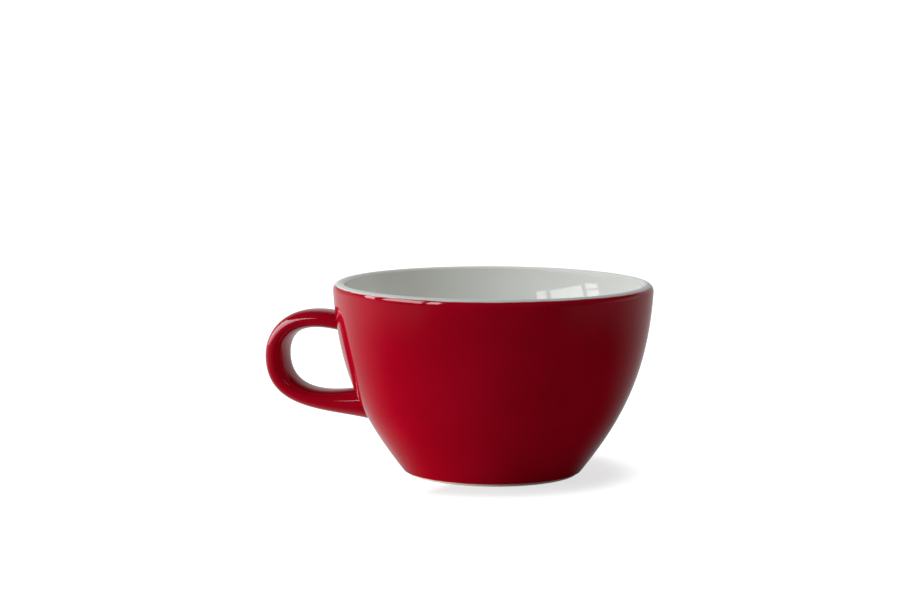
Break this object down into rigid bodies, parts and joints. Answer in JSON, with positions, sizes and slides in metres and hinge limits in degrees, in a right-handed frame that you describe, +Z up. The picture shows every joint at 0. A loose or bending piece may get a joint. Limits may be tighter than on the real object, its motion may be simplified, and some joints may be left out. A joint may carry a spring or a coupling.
{
  "type": "coffee cup",
  "caption": "Wide rounded coffee cup on a bare foot ring, with an open strap handle, white glaze inside and over the lip and deep red glaze outside.",
  "frame": {"origin": "on the cup's axis, in the plane of the foot ring's underside", "axes": "+Z up along the cup's axis; the handle points along -X and is symmetric about the XZ plane"},
  "size_m": [0.1329, 0.107, 0.064],
  "materials": {
    "clay": "bare fired stoneware, matt and fine grained",
    "slip": "fired slip, matt",
    "white_glaze": "glossy off-white glaze",
    "red_glaze": "glossy deep red glaze"
  },
  "bodies": {
    "root": {"cup_body": "clay", "handle": "clay", "upper_slip_joint": "slip", "lower_slip_joint": "slip", "inner_glaze": "white_glaze", "outer_glaze": "red_glaze", "handle_glaze": "red_glaze", "base_glaze": "red_glaze"}
  },
  "joints": []
}
